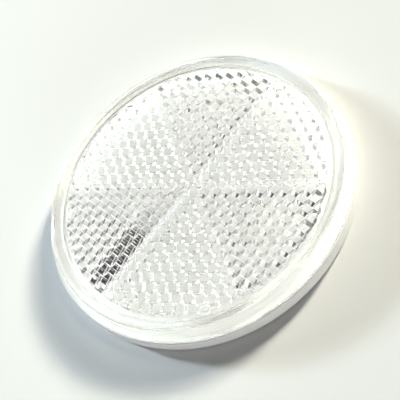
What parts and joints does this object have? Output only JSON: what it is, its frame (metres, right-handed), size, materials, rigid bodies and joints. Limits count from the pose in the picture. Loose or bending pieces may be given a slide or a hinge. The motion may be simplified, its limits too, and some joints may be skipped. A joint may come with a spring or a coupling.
{
  "type": "round reflector",
  "caption": "Round clear reflector with a cube-corner prism field in sectors, a clear stepped rim, a white back plate and a foam pad that sticks it to a flat surface.",
  "frame": {"origin": "centre of the face that sticks on, which is also the lowest plane of the part", "axes": "+Z out of the lens along the axis of the disc; +X along one border between two prism sectors"},
  "size_m": [0.06, 0.06, 0.0064],
  "materials": {
    "white_plastic": "white moulded plastic, satin",
    "clear_plastic": "clear moulded acrylic, polished front and optically flat prism faces",
    "pad_foam": "closed-cell foam, matt"
  },
  "bodies": {
    "root": {"back_plate": "white_plastic", "lens": "clear_plastic", "adhesive_pad": "pad_foam"}
  },
  "joints": []
}
